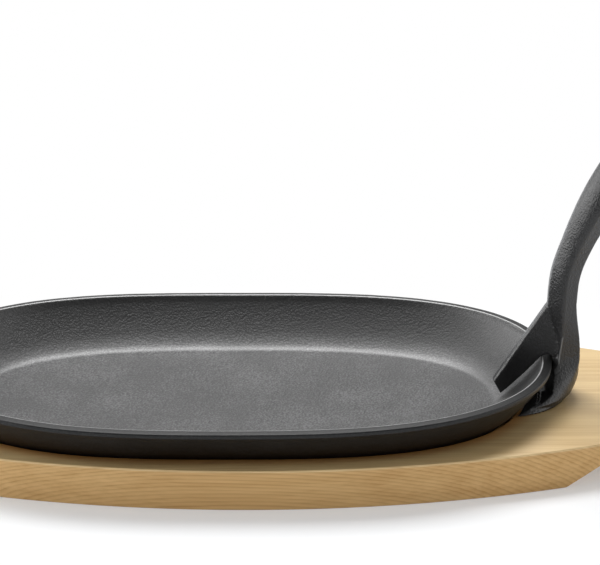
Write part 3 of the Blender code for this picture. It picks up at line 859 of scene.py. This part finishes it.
def finger_cutter(board, side):
    """The sloping cut under one end; side is 1 or -1."""
    start_x = BOARD_HIGH.x - board.cut_reach
    ceiling = BOARD_TOP - board.lip
    below = -OVERSHOOT
    past_end = BOARD_HIGH.x + OVERSHOOT
    slope = math.tan(board.cut_slope)
    points = [Vector((start_x + below / slope, below)),
              Vector((start_x + ceiling / slope, ceiling)),
              Vector((past_end, ceiling))]
    profile = soften(points, (0.0, board.cut_cove, 0.0), 12) + [Vector((past_end, below))]
    half = BOARD_HIGH.y + OVERSHOOT
    return loft(f"finger_cutter_{side}", [[(side * p.x, y, p.y) for p in profile]
                                          for y in (-half, half)])


def recess_cutter(board, platter):
    """The platter's seat: the oval at the wall's outside, with a coved bottom."""
    mouth = wall_inset_at(platter, BOARD_TOP) - board.recess_clearance
    bottom = BOARD_TOP - board.recess_depth
    section = [(mouth + board.recess_cove, 0.0, bottom)]
    for c, s in reversed(quarter_round(6)):
        section.append((mouth + board.recess_cove * (1 - c), 1.0,
                        bottom + board.recess_cove * (1 - s)))
    section += [(mouth, share_out, BOARD_TOP + OVERSHOOT) for share_out in (1.0, 0.0)]
    return sweep_oval("recess_cutter", section, platter)


def build_board(board, platter):
    """The plank with its recess and finger cuts, all edges sanded."""
    profile = []
    for c, s in reversed(quarter_round(5)):
        profile.append((board.edge_round * (1 - c), board.edge_round * (1 - s)))
    for c, s in quarter_round(5):
        profile.append((board.edge_round * (1 - c), BOARD_TOP - board.edge_round * (1 - s)))
    outline = board_outline(board)
    rings = [[(p.x, p.y, z) for p in inset(outline, distance)] for distance, z in profile]
    item = loft("maple_board", rings)
    cutters = [recess_cutter(board, platter), finger_cutter(board, 1), finger_cutter(board, -1)]
    for cutter in cutters:
        combine(item, cutter, "DIFFERENCE")
    bevel = item.modifiers.new("sanded", "BEVEL")
    bevel.width = board.edge_round * 0.6
    bevel.segments = 3
    bevel.limit_method = "ANGLE"
    bevel.angle_limit = math.radians(24)
    bevel.use_clamp_overlap = True
    settle(item, *cutters)
    item.data.shade_smooth()
    item.data.set_sharp_from_angle(angle=math.radians(35))
    return item


# Handle

# The grip's ridge line: distance out from the neck, height above the neck
GRIP_LINE = ((0.0000, 0.0000), (0.0015, 0.0141), (0.0069, 0.0286), (0.0145, 0.0437),
             (0.0217, 0.0567), (0.0305, 0.0689), (0.0418, 0.0792), (0.0557, 0.0867))
SECTION_SIDES = 72
LEG_STATIONS = 48
BLADE_STATIONS = 24
GRIP_STATIONS = 90
GRIP_PATH_STEPS = 1200
HOLLOW_STEPS = 24
PEEN_FINE_SIZE = 0.0014


def leg_back_x(handle):
    """Where the back of the leg stands."""
    return PLATTER_HIGH.x + handle.scoop_clearance + handle.leg_thickness


def neck_x(handle):
    """Where the neck's ridge stands."""
    return leg_back_x(handle) - handle.neck_setback - handle.neck_back


def section(handle, x, z, lean, half_width, front, back, roundness, flatness):
    """A ring round the ridge point. The front goes from a wedge with a narrow edge, at
    roundness 0, to a full round. The back goes from a full round, at flatness 0, to two
    bevels and a flat."""
    front_edge = handle.blade_thickness / 2 / handle.neck_half_width
    forward = Vector((-math.cos(lean), 0.0, math.sin(lean)))
    ring = []
    for i in range(SECTION_SIDES):
        turn = 2 * math.pi * i / SECTION_SIDES
        c, s = math.cos(turn), math.sin(turn)
        if s >= 0:
            wedge = min(1.0, (1 - abs(c)) / (1 - front_edge))
            depth = front * mix(wedge, s ** (2 / handle.grip_fullness), roundness)
        else:
            bevelled = min(1.0, (1 - abs(c)) / (1 - handle.back_flat))
            depth = -back * mix(-s, bevelled, flatness)
        ring.append(Vector((x, half_width * c, z)) + forward * depth)
    return ring


def leg_flare(handle, height):
    """From 0 at the foot to 1 where the leg is as narrow as the neck."""
    return 1 - max(0.0, 1 - height / handle.flare_height) ** 2


def leg_half_width(handle, height):
    return mix(handle.foot_half_width, handle.neck_half_width, leg_flare(handle, height))


def leg_rings(handle):
    """From the pad under the foot up to the neck."""
    start = HANDLE_LOW.z - BOARD_TOP
    pad_top = start + handle.pad_height
    heights = [(start, handle.pad_step), (pad_top, handle.pad_step)]
    for t in shares(LEG_STATIONS)[:-1]:
        heights.append((mix(pad_top + handle.pad_step, handle.neck_height, t), 0.0))
    rings = []
    for height, step in heights:
        flare = leg_flare(handle, height)
        draw_in = handle.foot_round * max(0.0, 1 - height / handle.foot_round_height) ** 2
        rise = (height - handle.flare_height) / (handle.neck_height - handle.flare_height)
        to_neck = smoothstep(rise)
        back_x = leg_back_x(handle) - draw_in - handle.neck_setback * to_neck - step
        ridge_top = neck_x(handle) - handle.ridge_lean * (1 - to_neck)
        ridge_x = mix(PLATTER_HIGH.x - handle.foot_reach, ridge_top, flare)
        half_width = leg_half_width(handle, height) - step
        front = mix(-handle.foot_hollow, handle.leg_front, flare)
        front = mix(front, handle.neck_front, to_neck)
        flatness = smoothstep((height - handle.bevel_start) / handle.bevel_start)
        rings.append(section(handle, ridge_x, BOARD_TOP + height, 0.0, half_width, front,
                             back_x - ridge_x, handle.neck_round * to_neck, flatness))
    return rings


def grip_point(t):
    """A smooth curve through GRIP_LINE, for t from 0 to 1."""
    points = [Vector(point) for point in GRIP_LINE]
    before = points[0] - Vector((0.0, GRIP_LINE[1][1]))
    after = points[-1] * 2 - points[-2]
    points = [before] + points + [after]
    spans = len(GRIP_LINE) - 1
    i = min(int(t * spans), spans - 1)
    u = t * spans - i
    a, b, c, d = points[i:i + 4]
    curve = b * 2 + (c - a) * u + (a * 2 - b * 5 + c * 4 - d) * u ** 2
    curve += (b * 3 - a - c * 3 + d) * u ** 3
    return curve / 2


def grip_rings(handle):
    """From the neck to the rounded end."""
    path = [grip_point(t) for t in shares(GRIP_PATH_STEPS)]
    lengths = [0.0]
    for a, b in zip(path, path[1:]):
        lengths.append(lengths[-1] + (b - a).length)
    straight = lengths[-1] - handle.end_length
    stations = [(straight * t, 1.0) for t in shares(GRIP_STATIONS)]
    for c, s in quarter_round(14)[1:]:
        # The last ring stays a little short of a point
        stations.append((straight + handle.end_length * min(s, 0.998), max(c, 0.06)))
    rings = []
    k = 0
    for travelled, scale in stations:
        while k < GRIP_PATH_STEPS - 1 and lengths[k] < travelled:
            k += 1
        step = path[k + 1] - path[max(k - 1, 0)]
        lean = math.atan2(step.x, step.y)
        swell = smoothstep((travelled - handle.swell_start)
                           / (handle.swell_end - handle.swell_start))
        half_width = mix(handle.neck_half_width, handle.grip_half_width, swell) * scale
        front = mix(handle.neck_front, handle.grip_front, swell) * scale
        back = mix(handle.neck_back, handle.grip_back, swell) * scale
        x = neck_x(handle) + path[k].x
        z = BOARD_TOP + handle.neck_height + path[k].y
        roundness = mix(handle.neck_round, 1.0, swell)
        rings.append(section(handle, x, z, lean, half_width, front, back, roundness, 1.0))
    return rings


def blade(handle, platter):
    """From the blunt tip to the neck, thickening as it goes. The pocket cutter gives its
    low edge its shape."""
    along_tip = Vector((math.cos(handle.tip_angle), math.sin(handle.tip_angle)))
    tip = Vector((PLATTER_HIGH.x - handle.tip_reach, floor_height(platter) + handle.tip_lift))
    tip_low, tip_high = tip - along_tip * OVERSHOOT, tip + along_tip * handle.tip_length
    root_low = Vector((neck_x(handle), rim_height(platter)))
    root_high = Vector((neck_x(handle) - handle.neck_front, BOARD_TOP + handle.heel_height))
    thin = handle.blade_thickness / 2
    rings = []
    for along in shares(BLADE_STATIONS):
        spread = max(0.0, (along - handle.blade_spread) / (1 - handle.blade_spread)) ** 2
        low, high = tip_low.lerp(root_low, along), tip_high.lerp(root_high, along)
        below_high = high + (low - high).normalized() * handle.blade_round
        thick = mix(thin, handle.neck_half_width, spread)
        corners = ((low, thick), (below_high, thin), (high, thin - handle.blade_round))
        ring = [Vector((p.x, half, p.y)) for p, half in corners]
        ring += [Vector((p.x, -half, p.y)) for p, half in reversed(corners)]
        rings.append(ring)
    return loft("blade", rings)


def scoop_inset(handle, platter, z):
    """How far the leg's scooped face stands inside the rim's edge at a height."""
    foot = wall_inset_at(platter, BOARD_TOP) - handle.foot_clearance
    low = clamp(1 - (z - BOARD_TOP) / handle.scoop_height)
    arch = rim_height(platter) + handle.arch_headroom - handle.arch_shoulder
    clear = mix(handle.scoop_clearance, handle.arch_clearance,
                smoothstep(1 - (arch - z) / handle.arch_shoulder))
    up = clamp((z - BOARD_TOP) / (arch - BOARD_TOP))
    belly = handle.scoop_belly * math.sin(math.pi * up) ** 2
    return mix(-clear, foot, low ** handle.scoop_fullness) - belly


def pocket_section(handle, platter):
    """The space that the platter's end takes in the handle: up the leg's scoop, over the
    arch, down the blade's low edge and back under the wall."""
    bottom = BOARD_TOP - OVERSHOOT
    rim = rim_height(platter)
    top = rim + handle.arch_headroom
    profile = []
    for t in shares(24):
        z = mix(bottom, top - handle.arch_shoulder, t)
        profile.append(Vector((scoop_inset(handle, platter, z), z)))
    for c, s in quarter_round(16)[1:]:
        over = mix(handle.arch_crown, -handle.arch_clearance, c)
        profile.append(Vector((over, top - handle.arch_shoulder * (1 - s))))
    past_lip = Vector((platter.lip_width + handle.arch_inner_gap, rim))
    tip = Vector((handle.tip_reach, floor_height(platter) + handle.tip_lift))
    edge = (tip - past_lip).normalized()
    corner = past_lip - edge * (handle.arch_headroom / -edge.y)
    start = Vector((handle.arch_crown, top))
    stop = corner + edge * (corner - start).length
    for t in shares(8)[1:]:
        profile.append(start.lerp(corner, t).lerp(corner.lerp(stop, t), t))
    for t in shares(16)[1:]:
        bow = handle.blade_bow * 4 * t * (1 - t)
        profile.append(stop.lerp(tip, t) + Vector((edge.y, -edge.x)) * bow)
    past_tip = tip + edge * OVERSHOOT * 2
    profile += [past_tip, Vector((past_tip.x, bottom)), profile[0]]
    return [(point.x, 1.0, point.y) for point in profile]


def scoop_hollow(handle, platter):
    """A long lump that deepens the middle of the scoop."""
    low = BOARD_TOP + 0.002
    high = rim_height(platter) + handle.arch_headroom - handle.arch_shoulder / 2
    rings = []
    for up in shares(HOLLOW_STEPS)[1:-1]:
        z = mix(low, high, up)
        depth = handle.hollow_depth * math.sin(math.pi * up) ** 0.5
        wide = leg_half_width(handle, z - BOARD_TOP) * 0.98
        face, back = [], []
        for t in shares(HOLLOW_STEPS):
            y = mix(-wide, wide, t)
            across = abs(y / HALF_WIDTH) ** platter.side_fullness
            rim_x = HALF_LENGTH * (1 - across) ** (1 / platter.end_fullness)
            x = PLATTER_MIDDLE + rim_x - scoop_inset(handle, platter, z)
            face.append(Vector((x + depth * (1 - (y / wide) ** 6), y, z)))
            back.append(Vector((x - OVERSHOOT / 2, y, z)))
        rings.append(face + back[::-1])
    return loft("scoop_hollow", rings)


def build_handle(handle, platter):
    """Leg, grip and blade, cut by the platter's pocket and fused into one casting."""
    item = loft("cast_handle", leg_rings(handle) + grip_rings(handle))
    web = blade(handle, platter)
    pocket = sweep_oval("pocket_cutter", pocket_section(handle, platter), platter)
    combine(item, web, "UNION")
    combine(item, pocket, "DIFFERENCE")
    hollow = scoop_hollow(handle, platter)
    combine(item, hollow, "DIFFERENCE")
    fuse = item.modifiers.new("fuse", "REMESH")
    fuse.mode = "VOXEL"
    fuse.voxel_size = handle.voxel
    melt = item.modifiers.new("melt", "SMOOTH")
    melt.factor = 0.5
    melt.iterations = 2
    settle(item, web, pocket, hollow)
    peen(item, handle)
    item.data.shade_smooth()
    return item


def peen(item, handle):
    """Gives the casting its uneven surface."""
    normals = [vertex.normal.copy() for vertex in item.data.vertices]
    for vertex, normal in zip(item.data.vertices, normals):
        place = vertex.co
        rough = noise.noise(place / handle.peen_size) + 0.5 * noise.noise(place / PEEN_FINE_SIZE)
        vertex.co = place + normal * (rough * handle.peen * 0.5)


# Stage

FLOOR_GAP = 0.0001         # keeps the board's underside and the floor apart
WHITE = (1.0, 1.0, 1.0)


def build_floor(stage):
    """A pale floor that keeps the shadow, and turns white for the camera further out."""
    size = stage.floor_size / 2
    mesh = bpy.data.meshes.new("floor")
    corners = [(-size, -size, 0.0), (size, -size, 0.0), (size, size, 0.0), (-size, size, 0.0)]
    mesh.from_pydata(corners, [], [(0, 1, 2, 3)])
    item = link_mesh("floor", mesh)
    item.location.z = BOARD_LOW.z - FLOOR_GAP
    finish = Finish("pale_floor")
    x, y, z = finish.parts(finish.place)
    along, across = x / BOARD_HIGH.x, y / BOARD_HIGH.y
    away = (along * along + across * across) ** 0.5
    far = finish.smooth_step(away, 1.15, 2.1)
    seen = Wire(finish, finish.node("ShaderNodeLightPath").outputs["Is Camera Ray"])
    white = finish.node("ShaderNodeEmission", None, {"Color": WHITE, "Strength": 1.0})
    veil = (far * (1 - stage.veil) + stage.veil) * seen
    finish.set(Base_Color=stage.floor_colour, Roughness=0.85, Specular_IOR_Level=0.1)
    both = finish.node("ShaderNodeMixShader", None,
                       {0: veil, 1: finish.shader.outputs[0], 2: white.outputs[0]})
    output = finish.tree.nodes["Material Output"]
    finish.feed(output.inputs["Surface"], both.outputs[0])
    mesh.materials.append(finish.material)


def build_world(stage):
    """White behind the object, and a studio that is bright at the back for the light."""
    world = bpy.data.worlds.new("studio")
    bpy.context.scene.world = world
    world.use_nodes = True
    nodes = Nodes(world.node_tree)
    place = nodes.node("ShaderNodeTexCoord").outputs["Generated"]
    x, y, z = nodes.parts(place)
    # Each part of the studio is a range of directions: x right, y away, z up
    back = nodes.smooth_step(y, 0.30, 0.80) * nodes.smooth_step(z, 0.30, 0.12)
    left = nodes.smooth_step(y * 0.10 - x * 0.99, 0.62, 0.90) * nodes.smooth_step(z, 0.85, 0.40)
    right = nodes.smooth_step(x, 0.55, 0.95)
    level = back * stage.back + left * stage.left + right * stage.right + stage.front
    seen = Wire(nodes, nodes.node("ShaderNodeLightPath").outputs["Is Camera Ray"])
    background = world.node_tree.nodes["Background"]
    nodes.feed(background.inputs["Color"], WHITE)
    nodes.feed(background.inputs["Strength"], seen + (1 - seen) * level)


def add_key_light(stage):
    """A wide soft light that looks at the origin."""
    data = bpy.data.lights.new("key", "AREA")
    data.shape = "RECTANGLE"
    data.energy = stage.key_power
    data.size = stage.key_length
    data.size_y = stage.key_width
    item = bpy.data.objects.new("key", data)
    bpy.context.scene.collection.objects.link(item)
    item.location = (-stage.key_left, stage.key_back, stage.key_height)
    item.rotation_euler = (-item.location).to_track_quat("-Z", "Y").to_euler()


def build_camera():
    """The camera that fits the photograph."""
    data = bpy.data.cameras.new("camera")
    data.sensor_width = SENSOR_WIDTH
    data.lens = FOCAL_PIXELS * SENSOR_WIDTH / PHOTO_WIDTH
    data.clip_start = 0.01
    data.clip_end = 100.0
    item = bpy.data.objects.new("camera", data)
    bpy.context.scene.collection.objects.link(item)
    item.location = CAMERA_PLACE
    item.rotation_euler = (math.pi / 2 - CAMERA_PITCH, 0.0, CAMERA_TURN)
    bpy.context.scene.camera = item


# Operators

class SIZZLE_OT_board(Operator):
    """Makes the maple board with its recess and finger cuts"""
    bl_idname = "sizzle.board"
    bl_label = "Board"

    def execute(self, context):
        board = context.scene.sizzle_board
        item = build_board(board, context.scene.sizzle_platter)
        wood = maple("maple", board, context.scene.sizzle_platter)
        hand_over(item, "board", wood)
        return {"FINISHED"}


class SIZZLE_OT_platter(Operator):
    """Makes the oval cast iron platter"""
    bl_idname = "sizzle.platter"
    bl_label = "Platter"

    def execute(self, context):
        platter = context.scene.sizzle_platter
        iron = platter_iron("platter_iron", platter)
        line, inside = platter_section(platter)
        item = sweep_oval("cast_platter", line, platter, inside, iron)
        item.data.shade_smooth()
        hand_over(item, "platter", iron)
        return {"FINISHED"}


class SIZZLE_OT_handle(Operator):
    """Makes the lift-off handle as one fused casting"""
    bl_idname = "sizzle.handle"
    bl_label = "Handle"

    def execute(self, context):
        handle, platter = context.scene.sizzle_handle, context.scene.sizzle_platter
        item = build_handle(handle, platter)
        iron = handle_iron("handle_iron", handle, platter)
        hand_over(item, "handle", iron)
        return {"FINISHED"}


class SIZZLE_OT_stage(Operator):
    """Makes the pale floor, the soft light and the camera"""
    bl_idname = "sizzle.stage"
    bl_label = "Stage"

    def execute(self, context):
        stage = context.scene.sizzle_stage
        context.scene.view_settings.view_transform = "Standard"
        build_floor(stage)
        build_world(stage)
        add_key_light(stage)
        build_camera()
        return {"FINISHED"}


class SIZZLE_PT_panel(Panel):
    """Lists the pieces and their sizes in the sidebar"""
    bl_label = "Sizzle platter"
    bl_idname = "SIZZLE_PT_panel"
    bl_space_type = "VIEW_3D"
    bl_region_type = "UI"
    bl_category = "Sizzle platter"

    def draw(self, context):
        for name in ("board", "platter", "handle", "stage"):
            box = self.layout.box()
            box.operator(f"sizzle.{name}")
            settings = getattr(context.scene, f"sizzle_{name}")
            for key in settings.bl_rna.properties.keys():
                if key not in ("rna_type", "name"):
                    box.prop(settings, key)


SETTINGS = {"board": BoardSettings, "platter": PlatterSettings,
            "handle": HandleSettings, "stage": StageSettings}
OPERATORS = (SIZZLE_OT_board, SIZZLE_OT_platter, SIZZLE_OT_handle, SIZZLE_OT_stage)


def register():
    for name, settings in SETTINGS.items():
        bpy.utils.register_class(settings)
        setattr(bpy.types.Scene, f"sizzle_{name}", PointerProperty(type=settings))
    for item in OPERATORS + (SIZZLE_PT_panel,):
        bpy.utils.register_class(item)


def unregister():
    for item in reversed(OPERATORS + (SIZZLE_PT_panel,)):
        bpy.utils.unregister_class(item)
    for name, settings in SETTINGS.items():
        delattr(bpy.types.Scene, f"sizzle_{name}")
        bpy.utils.unregister_class(settings)


def main():
    register()
    bpy.ops.sizzle.board()
    bpy.ops.sizzle.platter()
    bpy.ops.sizzle.handle()
    bpy.ops.sizzle.stage()


if __name__ == "__main__":
    main()
